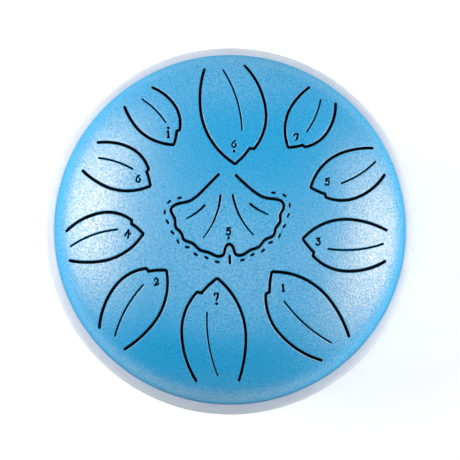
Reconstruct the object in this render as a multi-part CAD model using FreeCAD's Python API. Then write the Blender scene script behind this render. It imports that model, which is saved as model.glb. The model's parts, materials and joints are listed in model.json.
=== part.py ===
import FreeCAD, Part
from collections import namedtuple
import math
import os

# Steel tongue drum: two pressed steel shells joined at a flange, a soft ring over the flange,
# and eleven tongues cut from the upper shell, ten leaves around one ginkgo leaf.
# Lengths are in millimetres and angles in degrees.  +Z is up and the origin is on the ground
# under the middle.  Seen from above, +Y is towards the longest tongue.

Vector = FreeCAD.Vector
ORIGIN = Vector(0, 0, 0)
UP = Vector(0, 0, 1)

# Overall
RIM_R = 80.0  # outside of the soft ring
SHEET = 1.5  # steel thickness
SEAM_Z = 42.6  # plane between the two flanges

# Shell profile, outer face, from the crown outwards
CROWN_R = 165.0
CROWN_END = 15.5  # where the crown arc ends, from vertical
SHOULDER_R = 74.0
SHOULDER_END = 37.0
CORNER_R = 16.8
WALL_TOP = 6.5  # top of the upright wall, above the seam
BEND_R = 1.0  # outer radius where the wall turns out into the flange
FLANGE_R = 78.0

# Soft ring over the flange
RING_ROUND = 5.0  # half its height, and the radius of its outside
RING_LIP_R = 75.65  # inside of its two lips, against the wall
RING_LIP_ROUND = 0.5
RING_GROOVE_R = 78.2
RING_CHAMFER = 1.25

# Cuts through the upper shell
SLOT = 1.25
ROOT_SLIT = 0.1  # parting line across a tongue's root
LEAF_VEIN = 0.75
GINKGO_VEIN = 1.05  # where it starts, near the ginkgo leaf's root
GINKGO_VEIN_TIP = 0.6  # where it ends
DASH = 0.95
DASH_LENGTH = 2.1
LONG_DASH = 1.15
LONG_DASH_LENGTH = 3.9
DIGIT_HEIGHT = 3.5
PEN = 0.72  # stroke width of the numerals
STEM = 0.95  # width of their heavy upright strokes
DOT_R = 0.62
CUT_BOTTOM = SEAM_Z + 8.0
CUT_TOP = SEAM_Z + 40.0
CLEAR_ANGLE = -30.0  # a direction from the middle that no tongue crosses
SAMPLES_PER_POINT = 4  # of a smooth stroke's middle line, when its two edges are drawn

# Lower shell
SOUND_HOLE_R = 17.5
FOOT_COUNT = 3
FOOT_CIRCLE_R = 45.0
FOOT_FIRST_ANGLE = 90.0

# Rubber foot, pushed through a hole in the lower shell
FOOT_R = 7.0
FOOT_TOP_R = 8.2
FOOT_EDGE = 0.8  # rounding at the ground
FOOT_HOLLOW_R = 3.0  # recess in the underside
FOOT_HOLLOW_DEPTH = 1.2
FOOT_NECK_R = 3.0
FOOT_BARB_R = 4.6
FOOT_BARB_TIP_R = 2.4
FOOT_BARB_HEIGHT = 5.0  # above the sheet, inside

# Tuning magnet stuck under each tongue
MAGNET_R = 4.0
MAGNET_THICKNESS = 2.0
MAGNET_GAP = 0.02

# Leaf outline, in units of the leaf's size, from its tip at (0, 0) along +x to its root.
# Each side is a tip arc and a root arc, tangent at the belly.
Side = namedtuple("Side", "sign belly_along belly_across tip_r root_r")
PLAIN_SIDE = Side(1, 0.57, 0.275, 0.728, 1.22)
NOTCHED_SIDE = Side(-1, 0.51, 0.35, 0.544, 0.875)
TIP_END = (0.003, 0.0)
TIP_ROUND = (0.015, 0.0205)
NOTCH_INNER = (0.138, -0.15)
NOTCH_OUTER = (0.13, -0.195)
NOTCH_BULGE = (0.07, -0.087)

# Each leaf: tip, direction from tip to root, size of the whole leaf, length that is cut,
# where its vein runs, numeral with its centre, and its octave dot's offset (0 for none).
Leaf = namedtuple("Leaf", "name tip heading size length vein digit digit_at dot")
LEAVES = [
    Leaf("low_6", (2.2, 24.1), 96.0, 44.0, 44.0, (0.33, 0.975), "6", (1.7, 32.8), -3.1),
    Leaf("low_7", (-5.4, -24.1), -89.5, 43.0, 42.0, (0.33, 0.93), "7", (-5.6, -31.8), -2.8),
    Leaf("note_1", (17.5, -21.4), -49.0, 40.5, 41.0, (0.31, 0.94), "1", (22.2, -27.9), 0),
    Leaf("note_2", (-26.7, -20.6), -130.0, 36.0, 36.0, (0.30, 0.96), "2", (-30.8, -25.3), 0),
    Leaf("note_3", (30.5, -7.4), -2.5, 35.0, 35.5, (0.31, 0.98), "3", (36.9, -8.4), 0),
    Leaf("note_4", (-36.4, -5.1), -173.5, 32.5, 32.5, (0.33, 0.97), "4", (-42.9, -5.1), 0),
    Leaf("note_5", (34.0, 14.4), 24.0, 32.0, 32.0, (0.40, 0.96), "5", (41.0, 17.2), 0),
    Leaf("note_6", (-33.5, 15.1), 152.0, 31.0, 29.5, (0.33, 0.83), "6", (-38.6, 18.3), 0),
    Leaf("note_7", (24.6, 31.5), 59.0, 30.0, 28.5, (0.34, 0.88), "7", (28.0, 36.2), 0),
    Leaf("high_1", (-23.7, 32.7), 125.5, 30.0, 27.0, (0.34, 0.84), "1", (-26.0, 37.4), 2.8),
]
VEIN_ACROSS = -0.1  # from the leaf's middle line, until it starts to bend
VEIN_BEND_START = 0.45
VEIN_BEND = 0.42
MAGNET_ALONG = 0.58
MAGNET_ACROSS = 0.08

# Ginkgo tongue: the middle of its slot, from one end of the root round to the other
GINKGO_NAME = "low_5"
GINKGO_OUTLINE = [
    (-4.8, 19.5), (-11.8, 12.3), (-17.4, 8.2), (-22.6, 6.9), (-24.7, 5.2), (-23.0, 0.4),
    (-22.7, -2.6), (-20.6, -4.8), (-19.2, -7.9), (-15.6, -9.5), (-12.7, -12.2), (-8.8, -13.4),
    (-4.6, -15.0), (-2.9, -14.4), (-1.9, -11.4), (-0.4, -9.9), (1.2, -11.1), (2.5, -14.2),
    (4.2, -14.6), (8.9, -12.2), (12.1, -11.0), (14.7, -8.0), (18.2, -6.1), (19.3, -2.8),
    (21.0, -0.4), (21.1, 2.6), (22.5, 5.6), (21.9, 8.0), (19.5, 9.1), (15.2, 9.6),
    (10.2, 12.2), (2.5, 19.2),
]
GINKGO_VEINS = [
    [(-4.0, 10.5), (-6.0, 1.7), (-11.0, -7.0)],
    [(1.2, 10.7), (3.9, 2.3), (9.7, -5.9)],
    [(-10.7, 6.4), (-14.4, 3.1), (-18.1, 1.0)],
    [(8.5, 7.0), (12.2, 4.4), (15.8, 2.7)],
]
GINKGO_DIGIT = "5"
GINKGO_DIGIT_AT = (-0.6, -4.5)
GINKGO_DOT = -2.8
GINKGO_MAGNET_AT = (-1.1, 2.3)

# Short dashes around the ginkgo leaf: centre and direction
DASHES = [
    (18.2, 11.9, 179), (22.8, 10.8, 145), (25.0, 6.7, 93), (24.4, 2.4, 62), (22.7, -2.2, 51),
    (20.7, -6.3, 64), (17.0, -9.1, 21), (13.8, -12.5, 42), (9.4, -14.3, 33), (5.2, -16.5, 16),
    (-21.1, 9.7, 9), (-25.5, 8.1, 43), (-27.3, 3.8, 91), (-26.2, -0.3, 123), (-24.1, -4.8, 135),
    (-21.7, -8.7, 119), (-17.8, -11.1, 166), (-14.3, -14.1, 145), (-9.8, -15.5, 153),
    (-5.3, -17.3, 171),
]
LONG_DASH_AT = (-0.1, -16.3, 92)

# Numerals as strokes of a pen, each with its width.  The strokes' middle lines stand on y = 0,
# are centred on x = 0 and are one unit high.  Two points are a straight stroke, three or more
# a smooth one.
NUMERALS = {
    "1": [
        (STEM, [(-0.02, 0.95), (0.04, 0.04)]),
        (PEN, [(-0.16, 0.90), (0.02, 1.0)]),
        (PEN, [(-0.12, 0.0), (0.18, 0.0)]),
    ],
    "2": [
        (PEN, [(-0.28, 0.74), (0.0, 1.0), (0.25, 0.72), (0.06, 0.36), (-0.24, 0.0)]),
        (PEN, [(-0.18, 0.02), (0.20, 0.04)]),
        (PEN, [(0.12, 0.03), (0.34, 0.18)]),
    ],
    "3": [
        (PEN, [(-0.26, 0.96), (0.26, 1.0)]),
        (PEN, [(0.26, 1.0), (-0.04, 0.64)]),
        (PEN, [(-0.04, 0.64), (0.31, 0.36), (0.08, 0.0), (-0.32, 0.16)]),
    ],
    "4": [
        (PEN, [(0.10, 1.12), (-0.42, 0.30)]),
        (PEN, [(0.12, 1.12), (0.10, 0.40), (0.0, -0.14)]),
        (PEN, [(0.10, 0.44), (0.40, 0.52)]),
    ],
    "5": [
        (PEN, [(0.28, 1.0), (-0.20, 0.94)]),
        (PEN, [(-0.20, 0.94), (-0.22, 0.60)]),
        (PEN, [(-0.22, 0.60), (0.28, 0.40), (0.10, 0.0), (-0.32, 0.12)]),
    ],
    "6": [(PEN, [(0.18, 1.0), (-0.22, 0.66), (-0.30, 0.24), (0.0, 0.0), (0.32, 0.26), (0.18, 0.52)])],
    "7": [
        (PEN, [(-0.32, 0.74), (-0.26, 0.96), (0.0, 0.98)]),
        (PEN, [(0.0, 0.98), (0.28, 1.0)]),
        (STEM, [(0.22, 0.92), (0.16, 0.50), (0.06, 0.22)]),
        (PEN, [(0.08, 0.26), (-0.08, 0.0)]),
    ],
}


def polar(radius, angle):
    """The point at this radius and at this angle from vertical, in the X-Z plane."""
    turn = math.radians(angle)
    return Vector(radius * math.sin(turn), 0, radius * math.cos(turn))


# Centres of the three profile arcs in the X-Z plane, above the seam
CORNER_FROM_SHOULDER = polar(SHOULDER_R - CORNER_R, SHOULDER_END)
SHOULDER_FROM_CROWN = polar(CROWN_R - SHOULDER_R, CROWN_END)
CROWN_CENTRE = Vector(0, 0, WALL_TOP - CORNER_FROM_SHOULDER.z - SHOULDER_FROM_CROWN.z)
SHOULDER_CENTRE = CROWN_CENTRE + SHOULDER_FROM_CROWN
CORNER_CENTRE = SHOULDER_CENTRE + CORNER_FROM_SHOULDER
WALL_R = CORNER_CENTRE.x + CORNER_R

PROFILE_ARCS = [
    (CROWN_CENTRE, CROWN_R, 0.0, CROWN_END),
    (SHOULDER_CENTRE, SHOULDER_R, CROWN_END, SHOULDER_END),
    (CORNER_CENTRE, CORNER_R, SHOULDER_END, 90.0),
]


def line(start, end):
    return Part.LineSegment(start, end).toShape()


def arc(start, middle, end):
    return Part.Arc(start, middle, end).toShape()


def dome_edges(inset, arcs=PROFILE_ARCS):
    """Profile edges from the crown to the wall, this far under the outer face."""
    edges = []
    for centre, radius, first, last in arcs:
        inner = radius - inset
        angles = (first, (first + last) / 2, last)
        edges.append(arc(*[centre + polar(inner, angle) for angle in angles]))
    return edges


def revolved(edges):
    face = Part.Face(Part.Wire(edges))
    return face.revolve(ORIGIN, UP, 360)


def dome_solid(inset):
    """Everything above the seam and under the dome, this far under its outer face."""
    apex = CROWN_CENTRE + polar(CROWN_R - inset, 0)
    wall_foot = Vector(WALL_R - inset, 0, 0)
    wall_top = Vector(WALL_R - inset, 0, WALL_TOP)
    edges = dome_edges(inset)
    return revolved(edges + [line(wall_top, wall_foot), line(wall_foot, ORIGIN), line(ORIGIN, apex)])


def ball(radius):
    """A ball about the crown's centre, turned so that its poles and seam miss the crown."""
    solid = Part.makeSphere(radius)
    solid.rotate(ORIGIN, Vector(0, 1, 0), 90)
    return solid.translated(CROWN_CENTRE)


def crown_cap():
    """The middle of a shell, as far as the crown arc goes."""
    beyond = polar(2 * CROWN_R, CROWN_END)
    cone = Part.makeCone(0, beyond.x, beyond.z, CROWN_CENTRE)
    return ball(CROWN_R).cut(ball(CROWN_R - SHEET)).common(cone)


def pressed_shell():
    """One shell with its flange on the seam plane, before anything is cut from it."""
    bend = Vector(WALL_R + BEND_R, 0, SHEET + BEND_R)
    outer_r = BEND_R
    inner_r = BEND_R + SHEET
    cap_rim = CROWN_CENTRE + polar(CROWN_R, CROWN_END)
    cap_rim_inside = CROWN_CENTRE + polar(CROWN_R - SHEET, CROWN_END)
    outside = dome_edges(0, PROFILE_ARCS[1:]) + [
        line(Vector(WALL_R, 0, WALL_TOP), bend + Vector(-outer_r, 0, 0)),
        arc(*[bend + polar(outer_r, angle) for angle in (270, 225, 180)]),
        line(bend + Vector(0, 0, -outer_r), Vector(FLANGE_R, 0, SHEET)),
        line(Vector(FLANGE_R, 0, SHEET), Vector(FLANGE_R, 0, 0)),
        line(Vector(FLANGE_R, 0, 0), bend + Vector(0, 0, -inner_r)),
    ]
    inside = [
        arc(*[bend + polar(inner_r, angle) for angle in (180, 225, 270)]),
        line(bend + Vector(-inner_r, 0, 0), Vector(WALL_R - SHEET, 0, WALL_TOP)),
    ]
    inside += dome_edges(SHEET, PROFILE_ARCS[1:])[::-1] + [line(cap_rim_inside, cap_rim)]
    return revolved(outside + inside).fuse(crown_cap())


def rim_ring():
    """The soft ring: half round outside, with a groove that grips both flanges."""
    middle = RIM_R - RING_ROUND
    round_reach = RING_LIP_R + RING_LIP_ROUND - middle
    round_rise = math.sqrt((RING_ROUND - RING_LIP_ROUND) ** 2 - round_reach ** 2)
    round_centre = Vector(middle + round_reach, 0, round_rise)
    to_outside = math.degrees(math.atan2(round_reach, round_rise))
    lip_round = [
        round_centre + polar(RING_LIP_ROUND, -90),
        round_centre + polar(RING_LIP_ROUND, (to_outside - 90) / 2),
        round_centre + polar(RING_LIP_ROUND, to_outside),
    ]
    upper = [
        Vector(RING_GROOVE_R, 0, SHEET),
        Vector(RING_LIP_R + RING_CHAMFER, 0, SHEET),
        Vector(RING_LIP_R, 0, SHEET + RING_CHAMFER),
        lip_round[0],
    ]
    flip = lambda point: Vector(point.x, 0, -point.z)
    edges = [line(first, second) for first, second in zip(upper, upper[1:])]
    edges.append(arc(*lip_round))
    edges.append(arc(lip_round[2], Vector(RIM_R, 0, 0), flip(lip_round[2])))
    edges.append(arc(*[flip(point) for point in lip_round[::-1]]))
    lower = [flip(point) for point in upper[::-1]]
    edges += [line(first, second) for first, second in zip(lower, lower[1:])]
    edges.append(line(flip(upper[0]), upper[0]))
    return revolved(edges)


def stroke(edges, width):
    """The flat face that a round pen of this width leaves along a chain of arcs and lines."""
    outline = Part.Wire(edges).makeOffset2D(width / 2)
    return Part.Face(outline)


def smooth(points):
    curve = Part.BSplineCurve()
    curve.interpolate(points)
    return curve


def ribbon(curve, width, end_width):
    """The flat face that a round pen leaves along a smooth curve, from one width to another."""
    left = []
    right = []
    samples = SAMPLES_PER_POINT * curve.NbPoles
    for index in range(samples + 1):
        share = index / samples
        parameter = curve.FirstParameter + share * (curve.LastParameter - curve.FirstParameter)
        along = curve.tangent(parameter)[0]
        reach = (width + share * (end_width - width)) / 2
        side = Vector(-along.y, along.x, 0) * reach
        left.append(curve.value(parameter) + side)
        right.append(curve.value(parameter) - side)
    start_cap = curve.StartPoint - curve.tangent(curve.FirstParameter)[0] * (width / 2)
    end_cap = curve.EndPoint + curve.tangent(curve.LastParameter)[0] * (end_width / 2)
    edges = [
        smooth(left).toShape(),
        arc(left[-1], end_cap, right[-1]),
        smooth(right[::-1]).toShape(),
        arc(right[0], start_cap, left[0]),
    ]
    return Part.Face(Part.Wire(edges))


def bar(start, end, width):
    """A straight stroke with round ends."""
    along = (end - start).normalize()
    side = Vector(-along.y, along.x, 0) * (width / 2)
    cap = along * (width / 2)
    edges = [
        line(start + side, end + side),
        arc(end + side, end + cap, end - side),
        line(end - side, start - side),
        arc(start - side, start - cap, start + side),
    ]
    return Part.Face(Part.Wire(edges))


def pen(points, width):
    """A stroke through these points: straight for two, smooth for more."""
    if len(points) == 2:
        return bar(points[0], points[1], width)
    return ribbon(smooth(points), width, width)


def flat(points):
    return [Vector(x, y, 0) for x, y in points]


def prism(face):
    """The face, drawn on the ground, as a cutter through the upper shell."""
    cutter = face.extrude(UP * (CUT_TOP - CUT_BOTTOM))
    cutter.translate(UP * CUT_BOTTOM)
    return cutter


def to_drum(leaf):
    """The transformation from the leaf's own units to the drum."""
    matrix = FreeCAD.Matrix()
    matrix.scale(leaf.size, leaf.size, leaf.size)
    matrix.rotateZ(math.radians(leaf.heading))
    matrix.move(Vector(leaf.tip[0], leaf.tip[1], 0))
    return matrix


def side_point(side, radius, along):
    """The point of one side of the unit leaf on its arc of this radius."""
    rise = math.sqrt(radius ** 2 - (along - side.belly_along) ** 2) - radius
    return (along, side.sign * (side.belly_across + rise))


def side_arc(side, radius, first, last):
    """Three points on one side's arc, from one distance along the leaf to another."""
    return [side_point(side, radius, along) for along in (first, (first + last) / 2, last)]


def leaf_outline(leaf):
    """The middle of the leaf's slot, from its plain side's root round the tip and notch."""
    reach = leaf.length / leaf.size
    belly = PLAIN_SIDE.belly_along
    tip_side = (TIP_ROUND[0], -TIP_ROUND[1])
    plain_tip = side_arc(PLAIN_SIDE, PLAIN_SIDE.tip_r, belly, TIP_ROUND[0])
    arcs = [
        side_arc(PLAIN_SIDE, PLAIN_SIDE.root_r, reach, belly),
        [plain_tip[0], plain_tip[1], TIP_ROUND],
        [TIP_ROUND, TIP_END, tip_side],
        [tip_side, NOTCH_BULGE, NOTCH_INNER],
    ]
    belly = NOTCHED_SIDE.belly_along
    notched_tip = side_arc(NOTCHED_SIDE, NOTCHED_SIDE.tip_r, NOTCH_OUTER[0], belly)
    arcs_after = [
        [NOTCH_OUTER, notched_tip[1], notched_tip[2]],
        side_arc(NOTCHED_SIDE, NOTCHED_SIDE.root_r, belly, reach),
    ]
    place = to_drum(leaf)
    placed = lambda points: [place.multVec(point) for point in flat(points)]
    edges = [arc(*placed(points)) for points in arcs]
    edges.append(line(*placed([NOTCH_INNER, NOTCH_OUTER])))
    edges += [arc(*placed(points)) for points in arcs_after]
    return edges


def leaf_vein(leaf):
    """The middle of the leaf's vein, flat near the tip and bending as it nears the root."""
    start, end = leaf.vein
    path = []
    for along in (start, (start + end) / 2, end):
        past_bend = max(along - VEIN_BEND_START, 0)
        path.append((along, VEIN_ACROSS + VEIN_BEND * past_bend ** 2))
    place = to_drum(leaf)
    return [place.multVec(point) for point in flat(path)]


def numeral(digit, centre, dot):
    """Faces that cut out one numeral, and its octave dot where it has one."""
    middle, level = centre
    unit = DIGIT_HEIGHT - PEN
    faces = []
    for width, points in NUMERALS[digit]:
        placed = [(middle + x * unit, level + (y - 0.5) * unit) for x, y in points]
        faces.append(pen(flat(placed), width))
    if dot:
        dot_at = Vector(middle, level + dot, 0)
        faces.append(Part.Face(Part.Wire(Part.makeCircle(DOT_R, dot_at))))
    return faces


def dash(x, y, angle, length, width):
    half = (length - width) / 2
    turn = math.radians(angle)
    reach = Vector(math.cos(turn), math.sin(turn), 0) * half
    return bar(Vector(x, y, 0) - reach, Vector(x, y, 0) + reach, width)


def cut_flat(solid, faces):
    return solid.cut([prism(face) for face in faces])


def nearest(solids, x, y):
    """The solid whose centre of mass is nearest to this point, seen from above."""
    distance = lambda solid: math.hypot(solid.CenterOfMass.x - x, solid.CenterOfMass.y - y)
    return min(solids, key=distance)


def upper_shell_and_tongues():
    """The upper shell parted into the shell itself and its tongues, by node name."""
    shell = pressed_shell()
    shell.rotate(ORIGIN, UP, CLEAR_ANGLE)
    shell.translate(UP * SEAM_Z)
    ginkgo = flat(GINKGO_OUTLINE)
    cutters = [pen(ginkgo, SLOT), bar(ginkgo[0], ginkgo[-1], ROOT_SLIT)]
    middles = {GINKGO_NAME: ORIGIN}
    for leaf in LEAVES:
        edges = leaf_outline(leaf)
        cutters.append(stroke(edges, SLOT))
        cutters.append(bar(edges[0].Vertexes[0].Point, edges[-1].Vertexes[-1].Point, ROOT_SLIT))
        middles[leaf.name] = to_drum(leaf).multVec(Vector(leaf.length / leaf.size / 2, 0, 0))
    solids = cut_flat(shell, cutters).Solids
    plate = max(solids, key=lambda solid: solid.Volume)
    solids.remove(plate)
    dashes = [dash(x, y, angle, DASH_LENGTH, DASH) for x, y, angle in DASHES]
    dashes.append(dash(*LONG_DASH_AT, LONG_DASH_LENGTH, LONG_DASH))
    pieces = {"top_shell": cut_flat(plate, dashes)}
    for name, middle in middles.items():
        pieces["tongue_" + name] = nearest(solids, middle.x, middle.y)
    for leaf in LEAVES:
        faces = numeral(leaf.digit, leaf.digit_at, leaf.dot) + [pen(leaf_vein(leaf), LEAF_VEIN)]
        pieces["tongue_" + leaf.name] = cut_flat(pieces["tongue_" + leaf.name], faces)
    faces = numeral(GINKGO_DIGIT, GINKGO_DIGIT_AT, GINKGO_DOT)
    faces += [ribbon(smooth(flat(p)), GINKGO_VEIN, GINKGO_VEIN_TIP) for p in GINKGO_VEINS]
    pieces["tongue_" + GINKGO_NAME] = cut_flat(pieces["tongue_" + GINKGO_NAME], faces)
    return pieces


def magnet(x, y):
    """A disc magnet flat against the underside of the dome at this point."""
    reach = math.hypot(x, y)
    on_crown = reach < CROWN_R * math.sin(math.radians(CROWN_END))
    centre, radius = (CROWN_CENTRE, CROWN_R) if on_crown else (SHOULDER_CENTRE, SHOULDER_R)
    inner = radius - SHEET
    tilt = math.asin((reach - centre.x) / inner)
    top = math.sqrt(inner ** 2 - MAGNET_R ** 2) - MAGNET_GAP
    outwards = Vector(x / reach, y / reach, 0)
    normal = outwards * math.sin(tilt) + UP * math.cos(tilt)
    base = outwards * centre.x + UP * (centre.z + SEAM_Z) + normal * (top - MAGNET_THICKNESS)
    return Part.makeCylinder(MAGNET_R, MAGNET_THICKNESS, base, normal)


def magnets():
    pieces = {"magnet_" + GINKGO_NAME: magnet(*GINKGO_MAGNET_AT)}
    for leaf in LEAVES:
        place = to_drum(leaf).multVec(Vector(MAGNET_ALONG, MAGNET_ACROSS, 0))
        pieces["magnet_" + leaf.name] = magnet(place.x, place.y)
    return pieces


def foot_axes():
    """Where the feet stand: a point on the ground for each."""
    points = []
    for index in range(FOOT_COUNT):
        turn = math.radians(FOOT_FIRST_ANGLE + 360 * index / FOOT_COUNT)
        points.append(Vector(math.cos(turn), math.sin(turn), 0) * FOOT_CIRCLE_R)
    return points


def lowered(dome):
    """A dome drawn above the seam, turned over to hang below it in its place."""
    return dome.mirror(ORIGIN, UP).translated(UP * SEAM_Z)


def bottom_shell():
    shell = lowered(pressed_shell())
    cutters = [Part.makeCylinder(SOUND_HOLE_R, SEAM_Z)]
    cutters += [Part.makeCylinder(FOOT_NECK_R, SEAM_Z, point) for point in foot_axes()]
    return shell.cut(cutters)


def foot(point):
    """A push-in rubber foot: a tapered head, a neck through the sheet and a barb inside."""
    outer_dome = lowered(dome_solid(0))
    inner_dome = lowered(dome_solid(SHEET))
    sheet_z = SEAM_Z - (CROWN_CENTRE.z + math.sqrt(CROWN_R ** 2 - FOOT_CIRCLE_R ** 2))
    top = SEAM_Z / 2  # well inside; the shell's outer face trims the head
    round_centre = Vector(FOOT_R - FOOT_EDGE, 0, FOOT_EDGE)
    corner = [round_centre + polar(FOOT_EDGE, angle) for angle in (180, 135, 90)]
    profile = [
        line(Vector(0, 0, FOOT_HOLLOW_DEPTH), Vector(FOOT_HOLLOW_R, 0, FOOT_HOLLOW_DEPTH)),
        line(Vector(FOOT_HOLLOW_R, 0, FOOT_HOLLOW_DEPTH), Vector(FOOT_HOLLOW_R, 0, 0)),
        line(Vector(FOOT_HOLLOW_R, 0, 0), corner[0]),
        arc(*corner),
        line(corner[2], Vector(FOOT_TOP_R, 0, top)),
        line(Vector(FOOT_TOP_R, 0, top), Vector(0, 0, top)),
        line(Vector(0, 0, top), Vector(0, 0, FOOT_HOLLOW_DEPTH)),
    ]
    head = revolved(profile).translated(point).cut(outer_dome)
    barb_top = sheet_z + SHEET + FOOT_BARB_HEIGHT
    neck_height = barb_top - FOOT_BARB_HEIGHT / 2 - FOOT_HOLLOW_DEPTH
    neck = Part.makeCylinder(FOOT_NECK_R, neck_height, point + UP * FOOT_HOLLOW_DEPTH)
    barb = Part.makeCone(FOOT_BARB_R, FOOT_BARB_TIP_R, barb_top - sheet_z, point + UP * sheet_z)
    return head.fuse([neck, barb.common(inner_dome)]).removeSplitter()


def build():
    pieces = upper_shell_and_tongues()
    pieces.update(magnets())
    pieces["bottom_shell"] = bottom_shell()
    pieces["rim_ring"] = rim_ring().translated(UP * SEAM_Z)
    for index, point in enumerate(foot_axes()):
        pieces["foot_%d" % (index + 1)] = foot(point)
    return pieces


os.makedirs("parts", exist_ok=True)
for node, shape in build().items():
    shape.exportStep("parts/%s.step" % node)
    print(node, shape.isValid(), len(shape.Solids), round(shape.Volume, 2))
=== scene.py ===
import json
import math

import bmesh
import bpy
import numpy as np
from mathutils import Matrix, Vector
from mathutils.bvhtree import BVHTree
from mathutils.geometry import delaunay_2d_cdt


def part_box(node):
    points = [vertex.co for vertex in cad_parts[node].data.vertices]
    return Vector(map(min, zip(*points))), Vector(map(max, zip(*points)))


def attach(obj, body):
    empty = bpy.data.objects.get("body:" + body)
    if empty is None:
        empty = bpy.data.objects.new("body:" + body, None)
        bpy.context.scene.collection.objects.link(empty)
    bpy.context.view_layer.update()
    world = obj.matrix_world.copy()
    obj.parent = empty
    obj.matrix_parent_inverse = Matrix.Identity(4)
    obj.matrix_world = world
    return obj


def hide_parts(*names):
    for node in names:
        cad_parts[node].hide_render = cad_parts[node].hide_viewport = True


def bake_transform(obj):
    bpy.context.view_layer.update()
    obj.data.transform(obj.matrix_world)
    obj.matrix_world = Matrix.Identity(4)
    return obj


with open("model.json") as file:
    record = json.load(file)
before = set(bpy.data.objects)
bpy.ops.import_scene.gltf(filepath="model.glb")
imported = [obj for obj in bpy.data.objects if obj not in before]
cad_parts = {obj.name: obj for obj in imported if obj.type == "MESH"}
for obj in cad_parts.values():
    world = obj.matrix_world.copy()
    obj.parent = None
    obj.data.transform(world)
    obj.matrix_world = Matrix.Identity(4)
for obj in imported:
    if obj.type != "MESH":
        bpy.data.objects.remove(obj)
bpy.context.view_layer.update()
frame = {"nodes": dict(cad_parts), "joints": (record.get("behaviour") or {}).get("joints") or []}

# Looks of a small steel tongue drum.  Both shells and the tongues are rebuilt as smooth sheets
# with rounded edges, from the outlines of the CAD nodes; the ring and the feet are turned.
# Lengths are millimetres and angles degrees until a mesh, light or camera is made, and heights
# are measured from the seam between the shells.

MM = 0.001

# The pressed shells, as in the CAD: three arcs from the crown to the wall
SHEET = 1.5
CROWN_R = 165.0
CROWN_END = 15.5
SHOULDER_R = 74.0
SHOULDER_END = 37.0
CORNER_R = 16.8
WALL_TOP = 6.5
BEND_R = 1.0
FLANGE_R = 78.0

# The soft ring
RING_R = 80.0
RING_ROUND = 5.0
RING_LIP_R = 75.56
RING_LIP_ROUND = 0.5
RING_GROOVE_R = 78.2
RING_CHAMFER = 1.25

# The feet
FOOT_R = 7.0
FOOT_SHELL_R = 7.58
FOOT_EDGE = 0.8
FOOT_HOLLOW_R = 3.0
FOOT_HOLLOW_DEPTH = 1.2
FOOT_NECK_R = 3.0
FOOT_BARB_R = 4.1
FOOT_BARB_TIP_R = 2.4
FOOT_BARB_HEIGHT = 17.2  # from the ground
FOOT_STEPS = 96

SEAM_Z = sum(corner.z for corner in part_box("rim_ring")) / 2 / MM

# The rebuilt sheets
EDGE_ROUND = 0.32  # rounding of the painted edges along slots and numerals
SAME_POINT = 1e-6  # CAD points this close, in metres, are one
ON_DOME = 0.001  # a CAD point this close to the outer face is on it
ROOT_BAND = 0.08  # a root's sides lie this close to the hinge's line
ROOT_SIDE = 0.3  # and are longer than this
OUTLINE_STEP = 0.4
CURVE_STEP = OUTLINE_STEP / 8  # between the points of a curve before it is thinned
OUTLINE_TURN = 14.0  # most that an outline turns between two of its points
CORNER_TURN = 32.0  # a sharper turn than this is a corner
CLOSE = 0.02  # points nearer than this are one
LEAST_LENGTH = 1e-12  # of a vector that a direction is worked out from
ROUND_ROWS = (0.3, 0.6, 1.0, 2.2)  # rows of points beside an edge, in roundings from it
ROW_CLEAR = 0.85  # least share of that distance which a row's points keep from every edge
GRID_STEP = 1.5
GRID_ROW_STEP = GRID_STEP * math.sqrt(3) / 2
GRID_CLEAR = 1.2  # between the grid and the cut edges
OPEN_CLEAR = GRID_STEP / 3  # between the grid and the open sides
MERGE = 1e-5  # the triangulation makes points this close one
STEEPEST = 1e-3  # least rise that the slope of a rounded edge is worked out with
STRIP_HEIGHT = 1.0  # of the upright strips that stand for the cut sides in a search
BATCH = 4_000_000  # most pairs of point and side that are compared at once
SHEET_END_R = 72.4  # no cut reaches this far; the turned part of a shell starts here
TURN_STEPS = 288
ARC_STEP = 4.0  # degrees between the points of a turned arc
SHARP = 40.0
WHOLE_HULL = 0  # the kind of triangulation that fills the points' convex hull
UPPER = 1  # the drum's two sides, as signs of the height
LOWER = -1
PAINTED = 0  # the materials of a sheet, by number
INSIDE = 1
CUT = 2


# ---------------------------------------------------------------- profile of the shells


def polar(radius, angle):
    """Reach and height of a point at this angle from vertical."""
    turn = math.radians(angle)
    return np.array([radius * math.sin(turn), radius * math.cos(turn)])


CORNER_FROM_SHOULDER = polar(SHOULDER_R - CORNER_R, SHOULDER_END)
SHOULDER_FROM_CROWN = polar(CROWN_R - SHOULDER_R, CROWN_END)
CROWN_CENTRE = np.array([0, WALL_TOP - CORNER_FROM_SHOULDER[1] - SHOULDER_FROM_CROWN[1]])
SHOULDER_CENTRE = CROWN_CENTRE + SHOULDER_FROM_CROWN
CORNER_CENTRE = SHOULDER_CENTRE + CORNER_FROM_SHOULDER
WALL_R = CORNER_CENTRE[0] + CORNER_R
PROFILE_ARCS = [
    (CROWN_CENTRE, CROWN_R, 0.0, CROWN_END),
    (SHOULDER_CENTRE, SHOULDER_R, CROWN_END, SHOULDER_END),
    (CORNER_CENTRE, CORNER_R, SHOULDER_END, 90.0),
]


def dome(flat, inset):
    """Heights and slopes at points seen from above, on the face this far under the outer one."""
    reach = np.linalg.norm(flat, axis=1)
    height = np.zeros_like(reach)
    slope = np.zeros_like(reach)
    for centre, radius, first, last in PROFILE_ARCS:
        inner = radius - inset
        low = centre[0] + polar(inner, first)[0]
        high = centre[0] + polar(inner, last)[0]
        on = (reach >= low) & (reach <= high)
        out = reach[on] - centre[0]
        rise = np.sqrt(inner**2 - out**2)
        height[on] = centre[1] + rise
        slope[on] = out / rise
    return height, slope


def arc_points(centre, radius, first, last):
    """Reach and height along an arc, from one angle to another."""
    steps = max(2, round(abs(last - first) / ARC_STEP))
    angles = np.linspace(first, last, steps + 1)
    return [np.asarray(centre) + polar(radius, angle) for angle in angles]


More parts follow.
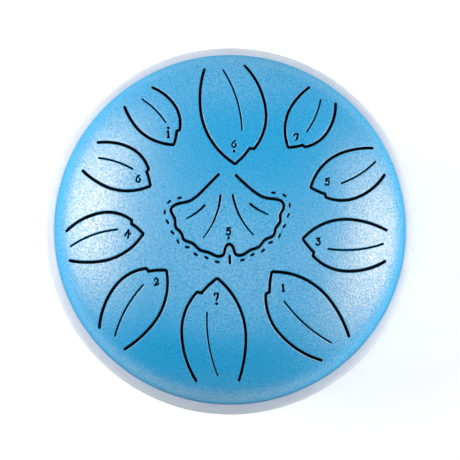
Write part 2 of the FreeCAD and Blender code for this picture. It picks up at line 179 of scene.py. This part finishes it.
# ---------------------------------------------------------------- meshes


def unit(vectors):
    lengths = np.linalg.norm(vectors, axis=-1, keepdims=True)
    return vectors / np.maximum(lengths, LEAST_LENGTH)


def new_piece(name, points, faces, materials, marks=None, normals=None):
    """A smooth mesh object.  marks gives each face's material, normals each face corner's
    direction, or zeros where it is worked out from the faces."""
    mesh = bpy.data.meshes.new(name)
    placed = (np.asarray(points) + np.array([0, 0, SEAM_Z])) * MM
    mesh.from_pydata(placed.tolist(), [], faces)
    for material in materials:
        mesh.materials.append(material)
    if marks is not None:
        mesh.polygons.foreach_set("material_index", marks)
    mesh.shade_smooth()
    mesh.set_sharp_from_angle(angle=math.radians(SHARP))
    if normals is not None:
        mesh.normals_split_custom_set(np.vstack(normals).tolist())
    piece = bpy.data.objects.new(name, mesh)
    bpy.context.scene.collection.objects.link(piece)
    return piece


def circle(radius, height, centre=(0.0, 0.0), steps=TURN_STEPS):
    """Points round a level circle, anticlockwise seen from above."""
    turns = np.arange(steps) * 2 * math.pi / steps
    x = centre[0] + radius * np.cos(turns)
    y = centre[1] + radius * np.sin(turns)
    return np.column_stack([x, y, np.full(steps, height)])


def band(first, second):
    """Faces between two rings, given the numbers of their points.  They face up where the
    second ring is the wider one."""
    count = len(first)
    after = [(i + 1) % count for i in range(count)]
    return [(first[i], second[i], second[after[i]], first[after[i]]) for i in range(count)]


def ring_numbers(base, rings):
    """The numbers of each ring's points, when the rings are stored one after another."""
    steps = len(rings[0])
    return [list(range(base + row * steps, base + (row + 1) * steps)) for row in range(len(rings))]


# ---------------------------------------------------------------- outlines of the CAD nodes


def raw_loops(node, side):
    """Loops where the node's outer face ends at its upright cuts, seen from above.

    side is UPPER for the upper shell and its tongues, LOWER for the lower shell."""
    mesh = bmesh.new()
    mesh.from_mesh(frame["nodes"][node].data)
    bmesh.ops.remove_doubles(mesh, verts=mesh.verts, dist=SAME_POINT)
    places = np.array([vert.co for vert in mesh.verts]) / MM
    height, _ = dome(places[:, :2], 0)
    on_outside = np.abs(side * (places[:, 2] - SEAM_Z) - height) < ON_DOME
    cuttable = np.linalg.norm(places[:, :2], axis=1) < SHEET_END_R
    mesh.verts.index_update()
    beside = {}
    for edge in mesh.edges:
        outside = [all(on_outside[vert.index] for vert in face.verts) for face in edge.link_faces]
        first, second = edge.verts
        if any(outside) and not all(outside) and cuttable[first.index] and cuttable[second.index]:
            beside.setdefault(first, []).append(second)
            beside.setdefault(second, []).append(first)
    loops = []
    while beside:
        vert = next(iter(beside))
        loop = []
        while vert is not None:
            loop.append((vert.co.x / MM, vert.co.y / MM))
            onwards = [other for other in beside.pop(vert) if other in beside]
            vert = onwards[0] if onwards else None
        loops.append(without_close(np.array(loop)))
    mesh.free()
    return loops


def without_close(loop):
    """The loop without points that all but coincide."""
    kept = [loop[0]]
    for point in loop[1:]:
        if np.linalg.norm(point - kept[-1]) > CLOSE:
            kept.append(point)
    if np.linalg.norm(kept[-1] - kept[0]) < CLOSE:
        kept.pop()
    return np.array(kept)


def turning(before, after):
    """Angle between two directions."""
    return math.degrees(math.acos(max(-1.0, min(1.0, float(before @ after)))))


def curve(points, tangents):
    """A close row of points along a smooth curve through these, with these directions."""
    row = [points[:1]]
    for index, length in enumerate(np.linalg.norm(np.diff(points, axis=0), axis=1)):
        steps = max(1, math.ceil(length / CURVE_STEP))
        t = np.arange(1, steps + 1)[:, None] / steps
        blend = 3 * t**2 - 2 * t**3
        start_pull = (t**3 - 2 * t**2 + t) * length * tangents[index]
        end_pull = (t**3 - t**2) * length * tangents[index + 1]
        row.append((1 - blend) * points[index] + blend * points[index + 1] + start_pull + end_pull)
    return np.vstack(row)


def open_curve(points):
    """The smooth curve through a row of points, its ends bent as its neighbouring sides are."""
    if len(points) == 2:
        return points
    tangents = np.empty_like(points)
    tangents[1:-1] = unit(points[2:] - points[:-2])
    first = unit(points[1] - points[0])
    last = unit(points[-1] - points[-2])
    tangents[0] = 2 * (tangents[1] @ first) * first - tangents[1]
    tangents[-1] = 2 * (tangents[-2] @ last) * last - tangents[-2]
    return curve(points, tangents)


def closed_curve(loop):
    tangents = unit(np.roll(loop, -1, axis=0) - np.roll(loop, 1, axis=0))
    return curve(np.vstack([loop, loop[:1]]), np.vstack([tangents, tangents[:1]]))


def thinned(row):
    """The points of a close row that its length and its turning call for, ends included."""
    kept = [0]
    length = 0.0
    turn = 0.0
    for index in range(1, len(row) - 1):
        before = row[index] - row[index - 1]
        after = row[index + 1] - row[index]
        length += float(np.linalg.norm(before))
        turn += turning(unit(before), unit(after))
        if length > OUTLINE_STEP or turn > OUTLINE_TURN:
            kept.append(index)
            length = 0.0
            turn = 0.0
    return row[kept + [len(row) - 1]]


def straighten_root(loop, hinges):
    """Moves the loop's root onto its hinge's line.  Returns which sides are the root."""
    after = np.roll(loop, -1, axis=0)
    length = np.linalg.norm(after - loop, axis=1)
    on_root = np.zeros(len(loop), bool)
    for start, direction in hinges:
        across = np.array([-direction[1], direction[0]])
        near = (np.abs((loop - start) @ across) < ROOT_BAND) & (length > ROOT_SIDE)
        near &= np.abs((after - start) @ across) < ROOT_BAND
        spans = ((loop - start) @ direction) * ((after - start) @ direction) < 0
        if (near & spans).any():
            on_root = near
            touched = near | np.roll(near, 1)
            loop[touched] -= ((loop[touched] - start) @ across)[:, None] * across
    return on_root


def refined(loop, hinges):
    """The loop as a smooth outline: its points, and whether each side is part of a root."""
    on_root = straighten_root(loop, hinges)
    count = len(loop)
    sides = unit(np.roll(loop, -1, axis=0) - loop)
    corners = []
    for index in range(count):
        sharp = turning(sides[index - 1], sides[index]) > CORNER_TURN
        if sharp or on_root[index] or on_root[index - 1]:
            corners.append(index)
    if not corners:
        row = thinned(closed_curve(loop))[:-1]
        return row, np.zeros(len(row), bool)
    points = []
    roots = []
    for first, last in zip(corners, corners[1:] + corners[:1]):
        span = np.arange(first, last + 1 + (count if last <= first else 0)) % count
        if on_root[first]:
            steps = max(1, round(float(np.linalg.norm(loop[last] - loop[first])) / OUTLINE_STEP))
            row = np.linspace(loop[first], loop[last], steps + 1)
        else:
            row = thinned(open_curve(loop[span]))
        points.append(row[:-1])
        roots += [bool(on_root[first])] * (len(row) - 1)
    return np.vstack(points), np.array(roots)


def area(loop):
    after = np.roll(loop, -1, axis=0)
    return float(np.sum(loop[:, 0] * after[:, 1] - after[:, 0] * loop[:, 1])) / 2


# ---------------------------------------------------------------- sheets with rounded edges


class Sheet:
    """A pressed sheet between outlines: triangles seen from above, lifted onto the dome.

    Loops are (points, open sides) pairs, the outermost first.  Open sides get no wall and no
    rounding, because another sheet carries on there.  The points are rounded to single precision,
    as the triangulation holds them, so that even its thinnest triangles are surely inside or
    outside."""

    def __init__(self, loops):
        starts = []
        open_sides = []
        self.links = []
        for index, (points, is_open) in enumerate(loops):
            if (area(points) > 0) != (index == 0):
                points = points[::-1]
                is_open = np.roll(is_open[::-1], -1)
            base = len(self.links)
            count = len(points)
            self.links += [(base + i, base + (i + 1) % count) for i in range(count)]
            starts.append(points.astype(np.float32).astype(float))
            open_sides.append(is_open)
        self.starts = np.vstack(starts)
        self.ends = np.vstack([np.roll(points, -1, axis=0) for points in starts])
        self.open_sides = np.concatenate(open_sides)
        self.inward = self.inward_directions()
        self.edges = self.edge_tree()
        self.triangulate()
        self.lift()

    def inward_directions(self):
        """At each outline point, the direction into the sheet from its cut sides."""
        along = unit(self.ends - self.starts)
        left = np.column_stack([-along[:, 1], along[:, 0]])
        left[self.open_sides] = 0
        total = left.copy()
        for number, (_, second) in enumerate(self.links):
            total[second] += left[number]
        return unit(total)

    def edge_tree(self):
        """A search tree over upright strips along the cut sides."""
        verts = []
        quads = []
        for start, end in zip(self.starts[~self.open_sides], self.ends[~self.open_sides]):
            base = len(verts)
            verts += [(*start, -STRIP_HEIGHT), (*end, -STRIP_HEIGHT)]
            verts += [(*end, STRIP_HEIGHT), (*start, STRIP_HEIGHT)]
            quads.append((base, base + 1, base + 2, base + 3))
        return BVHTree.FromPolygons(verts, quads)

    def from_edge(self, points):
        """Distance to the nearest cut side, and the direction away from it."""
        distance = np.empty(len(points))
        away = np.empty((len(points), 2))
        for index, (x, y) in enumerate(points):
            place, _, _, distance[index] = self.edges.find_nearest((x, y, 0))
            away[index] = (x - place[0], y - place[1])
        return distance, unit(away)

    def inside(self, points):
        """Which points lie in the sheet, by counting the sides crossed on the way to +x."""
        rise = self.ends[:, 1] - self.starts[:, 1]
        lean = (self.ends[:, 0] - self.starts[:, 0]) / np.where(rise == 0, 1, rise)
        result = np.zeros(len(points), bool)
        batches = len(points) * len(rise) // BATCH + 1
        for batch in np.array_split(np.arange(len(points)), batches):
            x = points[batch, 0, None]
            y = points[batch, 1, None]
            spans = (self.starts[:, 1] > y) != (self.ends[:, 1] > y)
            crossed = spans & (x < self.starts[:, 0] + (y - self.starts[:, 1]) * lean)
            result[batch] = crossed.sum(axis=1) % 2 == 1
        return result

    def inner_points(self):
        """Rows of points beside the cut sides, and a triangular grid over the rest."""
        chosen = []
        at_cut = np.linalg.norm(self.inward, axis=1) > 0.5
        for share in ROUND_ROWS:
            row = (self.starts + share * EDGE_ROUND * self.inward)[at_cut]
            if share == ROUND_ROWS[-1]:
                row = row[::2]
            row = row[self.inside(row)]
            distance, _ = self.from_edge(row)
            chosen.append(row[distance > ROW_CLEAR * share * EDGE_ROUND])
        low = self.starts.min(axis=0)
        high = self.starts.max(axis=0)
        rows = (high[1] - low[1]) / GRID_ROW_STEP
        columns = (high[0] - low[0]) / GRID_STEP
        row, column = np.mgrid[0:rows, 0:columns]
        x = low[0] + (column + 0.5 * (row % 2)) * GRID_STEP
        y = low[1] + (row + 0.5) * GRID_ROW_STEP
        grid = np.column_stack([x.ravel(), y.ravel()])
        grid = grid[self.inside(grid)]
        distance, _ = self.from_edge(grid)
        chosen.append(grid[(distance > GRID_CLEAR) & self.clear_of_open_sides(grid)])
        return np.vstack(chosen)

    def clear_of_open_sides(self, points):
        """Which points are far enough from every open side for a triangle between them."""
        clear = np.ones(len(points), bool)
        for start in self.starts[self.open_sides]:
            clear &= np.linalg.norm(points - start, axis=1) > OPEN_CLEAR
        return clear

    def triangulate(self):
        given = np.vstack([self.starts, self.inner_points()])
        corners = [Vector(point) for point in given.tolist()]
        verts, _, faces, source, _, _ = delaunay_2d_cdt(corners, self.links, [], WHOLE_HULL, MERGE)
        self.flat = np.array([tuple(vert) for vert in verts])
        faces = np.array(faces)
        self.faces = faces[self.inside(self.flat[faces].mean(axis=1))]
        self.number = np.array([min(numbers, default=len(given)) for numbers in source])
        self.on_outline = self.number < len(self.starts)

    def lift(self):
        """Points and directions of both faces, with the outer one rounded off at its edges."""
        distance, away = self.from_edge(self.flat)
        at_edge = self.on_outline & (distance < CLOSE / 2)
        away[at_edge] = self.inward[self.number[at_edge]]
        distance[at_edge] = 0
        left = np.clip(EDGE_ROUND - distance, 0, EDGE_ROUND)
        rise = np.sqrt(EDGE_ROUND**2 - left**2)
        steep = (left / np.maximum(rise, STEEPEST))[:, None]
        outwards = unit(self.flat)
        level = np.ones(len(self.flat))
        height, slope = dome(self.flat, 0)
        tilt = outwards * slope[:, None] - away * steep
        self.upper = np.column_stack([self.flat, height - (EDGE_ROUND - rise)])
        self.upper_normal = unit(np.column_stack([tilt, level]))
        height, slope = dome(self.flat, SHEET)
        self.lower = np.column_stack([self.flat, height])
        self.lower_normal = -unit(np.column_stack([outwards * slope[:, None], level]))
        self.side_normal = np.column_stack([-away, 0 * level])

    def boundary(self):
        """Directed sides of the triangles that no other triangle shares."""
        sides = {tuple(pair) for pair in self.faces[:, [0, 1, 1, 2, 2, 0]].reshape(-1, 2).tolist()}
        return [(first, second) for first, second in sides if (second, first) not in sides]

    def is_open(self, first, second):
        """Whether a boundary side belongs to an open side of the outline."""
        pair = {int(self.number[first]), int(self.number[second])}
        on_outline = [number for number in pair if number < len(self.starts)]
        return any(self.open_sides[number] and set(self.links[number]) == pair for number in on_outline)

    def solid(self, skipped=frozenset()):
        """Points, faces, face marks and corner normals of the closed sheet.  No wall is made
        between two points that are both skipped."""
        count = len(self.flat)
        faces = [tuple(face) for face in self.faces.tolist()]
        faces += [tuple(face[::-1]) for face in (self.faces + count).tolist()]
        marks = [PAINTED] * len(self.faces) + [INSIDE] * len(self.faces)
        normals = [self.upper_normal[self.faces].reshape(-1, 3)]
        normals.append(self.lower_normal[self.faces[:, ::-1]].reshape(-1, 3))
        for first, second in self.boundary():
            if first in skipped and second in skipped:
                continue
            faces.append((first, first + count, second + count, second))
            if self.is_open(first, second):
                marks.append(INSIDE)
                normals.append(np.zeros((4, 3)))
            else:
                marks.append(CUT)
                normals.append(self.side_normal[[first, first, second, second]])
        return np.vstack([self.upper, self.lower]), faces, marks, normals


def flange():
    """Profile from the foot of the wall out round the flange and back in, with face marks."""
    bend = (WALL_R + BEND_R, SHEET + BEND_R)
    outside = arc_points(bend, BEND_R, 270, 180) + [(FLANGE_R, SHEET), (FLANGE_R, 0.0)]
    inside = arc_points(bend, BEND_R + SHEET, 180, 270)
    return outside + inside, [PAINTED] * len(outside) + [INSIDE] * len(inside)


def corner_arc(radius, upwards):
    """Profile of the corner between the sheet's end and the wall, without the sheet's end."""
    start = math.degrees(math.asin((SHEET_END_R - CORNER_CENTRE[0]) / radius))
    points = arc_points(CORNER_CENTRE, radius, start, 90)[1:]
    return points[::-1] if upwards else points


def shell_skin(name, loops, materials, side):
    """A shell: a sheet with its cuts inside, and a turned wall and flange around it."""
    sheet = Sheet([(circle(SHEET_END_R, 0)[:, :2], np.ones(TURN_STEPS, bool))] + loops)
    rim = np.flatnonzero(sheet.number < TURN_STEPS)
    rim = rim[np.argsort(sheet.number[rim])]
    points, faces, marks, normals = sheet.solid(frozenset(rim.tolist()))
    around, around_marks = flange()
    outside = corner_arc(CORNER_R, upwards=False)
    inside = corner_arc(CORNER_R - SHEET, upwards=True)
    rings = [circle(reach, height) for reach, height in outside + around + inside]
    numbers = [rim.tolist()] + ring_numbers(len(points), rings)
    numbers.append((rim + len(sheet.flat)).tolist())
    band_marks = [PAINTED] * len(outside) + around_marks + [INSIDE] * (len(inside) + 1)
    known = dict(zip(numbers[0], sheet.upper_normal[rim]))
    known.update(zip(numbers[-1], sheet.lower_normal[rim]))
    for first, second, mark in zip(numbers, numbers[1:], band_marks):
        made = band(first, second)
        faces += made
        marks += [mark] * len(made)
        normals += [[known.get(number, (0, 0, 0)) for number in face] for face in made]
    points = np.vstack([points] + rings)
    normals = np.vstack(normals)
    if side == LOWER:
        points[:, 2] *= -1
        normals[:, 2] *= -1
        normals = reversed_by_face(normals, faces)
        faces = [face[::-1] for face in faces]
    return new_piece(name, points, faces, materials, marks, [normals])


def reversed_by_face(rows, faces):
    """Rows that belong to the corners of these faces, for when each face is turned over."""
    order = []
    for face in faces:
        start = len(order)
        order += range(start + len(face) - 1, start - 1, -1)
    return rows[order]


# ---------------------------------------------------------------- turned pieces


def ring_skin(material):
    """The soft ring: half round outside, with a groove that grips both flanges."""
    middle = RING_R - RING_ROUND
    reach = RING_LIP_R + RING_LIP_ROUND - middle
    rise = math.sqrt((RING_ROUND - RING_LIP_ROUND) ** 2 - reach**2)
    lean = math.degrees(math.atan2(reach, rise))
    lip = (middle + reach, rise)
    upper = [
        (RING_GROOVE_R, SHEET),
        (RING_LIP_R + RING_CHAMFER, SHEET),
        (RING_LIP_R, SHEET + RING_CHAMFER),
    ]
    upper += arc_points(lip, RING_LIP_ROUND, -90, lean)[:-1]
    outside = arc_points((middle, 0), RING_ROUND, lean, 180 - lean)
    lower = [(across, -height) for across, height in upper[::-1]]
    rings = [circle(across, height) for across, height in upper + outside + lower]
    numbers = ring_numbers(0, rings)
    faces = []
    for first, second in zip(numbers, numbers[1:] + numbers[:1]):
        faces += band(first, second)
    return new_piece("rim_ring_skin", np.vstack(rings), faces, [material])


def foot_skin(node, material):
    """A push-in foot: a tapered head under the shell, a neck through it and a barb inside."""
    low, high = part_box(node)
    centre = ((low.x + high.x) / 2 / MM, (low.y + high.y) / 2 / MM)
    ground = -SEAM_Z

    def around(radius, height):
        return circle(radius, ground + height, centre, FOOT_STEPS)

    rings = [
        around(FOOT_BARB_TIP_R, FOOT_BARB_HEIGHT),
        on_lower_shell(around(FOOT_BARB_R, 0), SHEET),
        on_lower_shell(around(FOOT_NECK_R, 0), SHEET),
        on_lower_shell(around(FOOT_NECK_R, 0), 0),
        on_lower_shell(around(FOOT_SHELL_R, 0), 0),
    ]
    edge = arc_points((FOOT_R - FOOT_EDGE, FOOT_EDGE), FOOT_EDGE, 90, 180)
    rings += [around(radius, height) for radius, height in edge]
    rings += [around(FOOT_HOLLOW_R, 0), around(FOOT_HOLLOW_R, FOOT_HOLLOW_DEPTH)]
    numbers = ring_numbers(0, rings)
    faces = [tuple(numbers[0]), tuple(numbers[-1][::-1])]
    for first, second in zip(numbers, numbers[1:]):
        faces += band(first, second)
    return new_piece(node + "_skin", np.vstack(rings), faces, [material])


def on_lower_shell(ring, inset):
    """The ring's points moved up or down onto a face of the lower shell."""
    height, _ = dome(ring[:, :2], inset)
    return np.column_stack([ring[:, :2], -height])


# ---------------------------------------------------------------- materials


GRAIN = 0.75  # size of the paint's grain
FLAKE_COLOUR = (0.98, 0.70, 0.38, 1)
FLAKE_EDGE = (0.1, 0.3, 0.4, 1)  # the flakes' tint where they are seen at a slant
NOISE_LOW = 0.25  # nearly all of Blender's noise lies between these
NOISE_HIGH = 0.75


def blank(name, colour, metallic, roughness):
    """A material of one colour, and its shader."""
    made = bpy.data.materials.new(name)
    made.use_nodes = True
    surface = made.node_tree.nodes["Principled BSDF"]
    surface.inputs["Base Color"].default_value = (*colour, 1)
    surface.inputs["Metallic"].default_value = metallic
    surface.inputs["Roughness"].default_value = roughness
    return made, surface


def noise(made, size, detail):
    """Noise with features of about this size, spread to run from 0 to 1."""
    tree = made.node_tree
    place = tree.nodes.new("ShaderNodeTexCoord")
    texture = tree.nodes.new("ShaderNodeTexNoise")
    texture.inputs["Scale"].default_value = 1 / (size * MM)
    texture.inputs["Detail"].default_value = detail
    tree.links.new(place.outputs["Object"], texture.inputs["Vector"])
    return spread(made, texture.outputs["Fac"], NOISE_LOW, NOISE_HIGH)


def tint(made, surface, factor, dark, light):
    """The colour runs from dark to light as the factor runs from 0 to 1."""
    tree = made.node_tree
    mix = tree.nodes.new("ShaderNodeMix")
    mix.data_type = "RGBA"
    mix.inputs["A"].default_value = (*dark, 1)
    mix.inputs["B"].default_value = (*light, 1)
    tree.links.new(factor, mix.inputs["Factor"])
    tree.links.new(mix.outputs["Result"], surface.inputs["Base Color"])


def vary(made, socket, factor, low, high):
    """The socket runs from low to high as the factor runs from 0 to 1."""
    tree = made.node_tree
    span = tree.nodes.new("ShaderNodeMapRange")
    span.inputs["To Min"].default_value = low
    span.inputs["To Max"].default_value = high
    tree.links.new(factor, span.inputs["Value"])
    tree.links.new(span.outputs["Result"], socket)


def bump(made, surface, factor, height):
    tree = made.node_tree
    relief = tree.nodes.new("ShaderNodeBump")
    relief.inputs["Distance"].default_value = height * MM
    tree.links.new(factor, relief.inputs["Height"])
    tree.links.new(relief.outputs["Normal"], surface.inputs["Normal"])


def spread(made, factor, low, high):
    """The factor run from 0 at low to 1 at high."""
    span = made.node_tree.nodes.new("ShaderNodeMapRange")
    span.inputs["From Min"].default_value = low
    span.inputs["From Max"].default_value = high
    made.node_tree.links.new(factor, span.inputs["Value"])
    return span.outputs["Result"]


def blue_paint():
    """Blue paint with pale metal flakes in it, too fine to be seen one by one."""
    made, surface = blank("blue_flake_paint", colour=(0.0, 0.36, 0.72), metallic=0.0, roughness=0.5)
    surface.inputs["Specular IOR Level"].default_value = 0.0
    tree = made.node_tree
    flakes = tree.nodes.new("ShaderNodeBsdfMetallic")
    flakes.inputs["Base Color"].default_value = FLAKE_COLOUR
    flakes.inputs["Edge Tint"].default_value = FLAKE_EDGE
    flakes.distribution = "BECKMANN"
    paint = tree.nodes.new("ShaderNodeMixShader")
    for shader, socket in zip((surface, flakes), paint.inputs[1:]):
        tree.links.new(shader.outputs["BSDF"], socket)
    tree.links.new(paint.outputs["Shader"], tree.nodes["Material Output"].inputs["Surface"])
    grain = noise(made, size=GRAIN, detail=2.0)
    tint(made, surface, grain, dark=(0.0, 0.29, 0.60), light=(0.0, 0.46, 0.87))
    vary(made, paint.inputs["Fac"], grain, low=0.04, high=0.28)
    vary(made, flakes.inputs["Roughness"], grain, low=0.51, high=0.43)
    for shader in (surface, flakes):
        bump(made, shader, grain, height=0.05)
    return made


def cut_steel_painted_shade():
    """The walls of the slots, dark from cutting and unpainted, and made near black as painted shade so
    that the slots show as dark gaps.
    """
    made, surface = blank("cut_steel_painted_shade", colour=(0.012, 0.013, 0.02), metallic=0.4, roughness=0.6)
    streaks = noise(made, size=0.25, detail=2.0)
    tint(made, surface, streaks, dark=(0.006, 0.007, 0.012), light=(0.02, 0.021, 0.03))
    vary(made, surface.inputs["Roughness"], streaks, low=0.7, high=0.5)
    bump(made, surface, streaks, height=0.01)
    return made


def inner_steel_painted_shade():
    """Bare steel inside the drum, dull and a little blotched, and darkened as painted shade so that the
    inside shows black through the slots.
    """
    made, surface = blank("inner_steel_painted_shade", colour=(0.05, 0.052, 0.058), metallic=0.8, roughness=0.55)
    blotches = noise(made, size=6.0, detail=4.0)
    tint(made, surface, blotches, dark=(0.03, 0.032, 0.038), light=(0.07, 0.074, 0.08))
    vary(made, surface.inputs["Roughness"], blotches, low=0.65, high=0.45)
    bump(made, surface, noise(made, size=0.4, detail=2.0), height=0.01)
    return made


def milky_silicone():
    """Soft translucent white silicone with a faint blue cast."""
    made, surface = blank("milky_silicone", colour=(0.80, 0.84, 0.88), metallic=0.0, roughness=0.5)
    surface.inputs["Subsurface Weight"].default_value = 0.25
    surface.inputs["Subsurface Radius"].default_value = (1.0, 1.0, 1.0)
    surface.inputs["Subsurface Scale"].default_value = 2 * MM
    clouds = noise(made, size=9.0, detail=3.0)
    tint(made, surface, clouds, dark=(0.53, 0.585, 0.67), light=(0.58, 0.64, 0.72))
    vary(made, surface.inputs["Roughness"], clouds, low=0.55, high=0.45)
    bump(made, surface, noise(made, size=0.3, detail=2.0), height=0.006)
    return made


def black_rubber():
    made, surface = blank("black_rubber", colour=(0.03, 0.03, 0.033), metallic=0.0, roughness=0.75)
    grain = noise(made, size=0.35, detail=3.0)
    tint(made, surface, grain, dark=(0.022, 0.022, 0.025), light=(0.045, 0.045, 0.05))
    vary(made, surface.inputs["Roughness"], grain, low=0.85, high=0.65)
    bump(made, surface, grain, height=0.02)
    return made


def nickel():
    made, surface = blank("magnet_nickel", colour=(0.72, 0.70, 0.66), metallic=1.0, roughness=0.28)
    scuffs = noise(made, size=1.2, detail=5.0)
    tint(made, surface, scuffs, dark=(0.66, 0.64, 0.60), light=(0.78, 0.76, 0.73))
    vary(made, surface.inputs["Roughness"], scuffs, low=0.38, high=0.2)
    bump(made, surface, scuffs, height=0.004)
    return made


# ---------------------------------------------------------------- the object


def flat_hinges():
    """Each joint's place and direction seen from above."""
    found = {}
    for joint in frame["joints"]:
        place = np.array(joint["pos_m"][:2]) / MM
        found[joint["child"]] = (place, unit(np.array(joint["axis"][:2])))
    return found


def outlines(node, side, hinges):
    """The node's outlines, the largest first."""
    found = sorted(raw_loops(node, side), key=lambda loop: -abs(area(loop)))
    return [refined(loop, hinges) for loop in found]


def tongue_skin(body, hinge, materials):
    """A tongue as a smooth sheet in place of its CAD node; its root and its direction from the root are
    worked out but not used.
    """
    node = "tongue_" + body
    sheet = Sheet(outlines(node, UPPER, [hinge]))
    points, faces, marks, normals = sheet.solid()
    piece = new_piece(node + "_skin", points, faces, materials, marks, normals)
    joint = next(joint for joint in frame["joints"] if joint["child"] == body)
    root = Vector(joint["pos_m"])
    low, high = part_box(node)
    along = Vector(joint["axis"]).cross(Vector((0, 0, 1)))
    if along.dot((low + high) / 2 - root) < 0:
        along.negate()
    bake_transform(piece)
    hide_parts(node)


def fixed(piece, node):
    """Fixes a piece to the drum, in place of a CAD node."""
    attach(piece, "drum")
    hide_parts(node)


def build_drum():
    finishes = [blue_paint(), inner_steel_painted_shade(), cut_steel_painted_shade()]
    hinges = flat_hinges()
    for node, name, side in (("top_shell", "upper", UPPER), ("bottom_shell", "lower", LOWER)):
        loops = outlines(node, side, list(hinges.values()))
        fixed(shell_skin(name + "_shell_skin", loops, finishes, side), node)
    for body, hinge in hinges.items():
        tongue_skin(body, hinge, finishes)
    fixed(ring_skin(milky_silicone()), "rim_ring")
    rubber = black_rubber()
    plating = nickel()
    for node in sorted(frame["nodes"]):
        if node.startswith("foot_"):
            fixed(foot_skin(node, rubber), node)
        if node.startswith("magnet_"):
            frame["nodes"][node].data.materials.clear()
            frame["nodes"][node].data.materials.append(plating)


# ---------------------------------------------------------------- stage, lights and camera

AIM = Vector((0, 0, SEAM_Z * MM))
CAMERA_DISTANCE = 1.0
CAMERA_ELEVATION = 84.0
LENS = 180.2
SENSOR = 36.0
# Name, azimuth, elevation, distance, width, height and radiance of each soft light
SOFTBOXES = [
    ("left", 257, 30, 0.95, 0.85, 0.26, 15.0),
    ("right", 86, 29, 0.95, 0.90, 0.26, 9.6),
    ("right_low", 90, 10, 0.95, 0.80, 0.30, 4.0),
    ("back", 180, 24, 0.95, 0.70, 0.26, 1.8),
    ("front", 0, 16, 0.95, 0.80, 0.26, 0.5),
    ("overhead", 0, 82, 1.5, 0.60, 0.50, 4.6),
]
FLOOR_SIZE = 6.0
# Painted shadow on the floor: dark within the first reach of the drum's axis, pale again beyond the
# second
FLOOR_PAINTED_SHADOW_R = 45.0
FLOOR_PAINTED_SHADOW_END_R = 70.0
FLOOR_GLOW = 0.3
WORLD_COLOUR = (0.01, 0.01, 0.01, 1)


def placed(azimuth, elevation, distance):
    """A point round the drum.  Azimuth 0 is towards -Y and 90 towards +X."""
    turn = math.radians(azimuth)
    rise = math.radians(elevation)
    level = math.cos(rise)
    away = Vector((level * math.sin(turn), -level * math.cos(turn), math.sin(rise)))
    return AIM + away * distance


def aimed(piece, place):
    """Puts a light or a camera at a place, looking at the drum with its top up."""
    piece.location = place
    piece.rotation_euler = (AIM - place).to_track_quat("-Z", "Y").to_euler()
    bpy.context.scene.collection.objects.link(piece)


def softbox(name, azimuth, elevation, distance, width, height, radiance):
    lamp = bpy.data.lights.new(name, "AREA")
    lamp.shape = "RECTANGLE"
    lamp.size = width
    lamp.size_y = height
    lamp.energy = radiance * math.pi * width * height
    aimed(bpy.data.objects.new(name, lamp), placed(azimuth, elevation, distance))


def floor_white_with_painted_shadow():
    """White and faintly lit from within, with a painted shadow under the drum, dark as seen through its
    slots.
    """
    made, surface = blank("floor_white_with_painted_shadow", colour=(0.8, 0.8, 0.8), metallic=0.0, roughness=0.8)
    tree = made.node_tree
    place = tree.nodes.new("ShaderNodeTexCoord")
    length = tree.nodes.new("ShaderNodeVectorMath")
    length.operation = "LENGTH"
    tree.links.new(place.outputs["Object"], length.inputs[0])
    # painted shadow: colour and glow fall to dark under the drum
    clear_of_painted_shadow = spread(made, length.outputs["Value"], FLOOR_PAINTED_SHADOW_R * MM, FLOOR_PAINTED_SHADOW_END_R * MM)
    tint(made, surface, clear_of_painted_shadow, dark=(0.02, 0.02, 0.02), light=(0.83, 0.83, 0.83))
    vary(made, surface.inputs["Emission Strength"], clear_of_painted_shadow, low=0.0, high=FLOOR_GLOW)
    surface.inputs["Emission Color"].default_value = (1, 1, 1, 1)
    return made


def floor():
    mesh = bpy.data.meshes.new("floor")
    half = FLOOR_SIZE / 2
    corners = [(-half, -half, 0), (half, -half, 0), (half, half, 0), (-half, half, 0)]
    mesh.from_pydata(corners, [], [(0, 1, 2, 3)])
    mesh.materials.append(floor_white_with_painted_shadow())
    piece = bpy.data.objects.new("floor", mesh)
    bpy.context.scene.collection.objects.link(piece)


def studio():
    scene = bpy.context.scene
    scene.view_settings.view_transform = "Standard"
    world = bpy.data.worlds.new("studio")
    world.use_nodes = True
    world.node_tree.nodes["Background"].inputs["Color"].default_value = WORLD_COLOUR
    scene.world = world
    floor()
    for name, azimuth, elevation, distance, width, height, radiance in SOFTBOXES:
        softbox(name, azimuth, elevation, distance, width, height, radiance)
    lens = bpy.data.cameras.new("camera")
    lens.lens = LENS
    lens.sensor_width = SENSOR
    camera = bpy.data.objects.new("camera", lens)
    aimed(camera, placed(0, CAMERA_ELEVATION, CAMERA_DISTANCE))
    scene.camera = camera


build_drum()
studio()
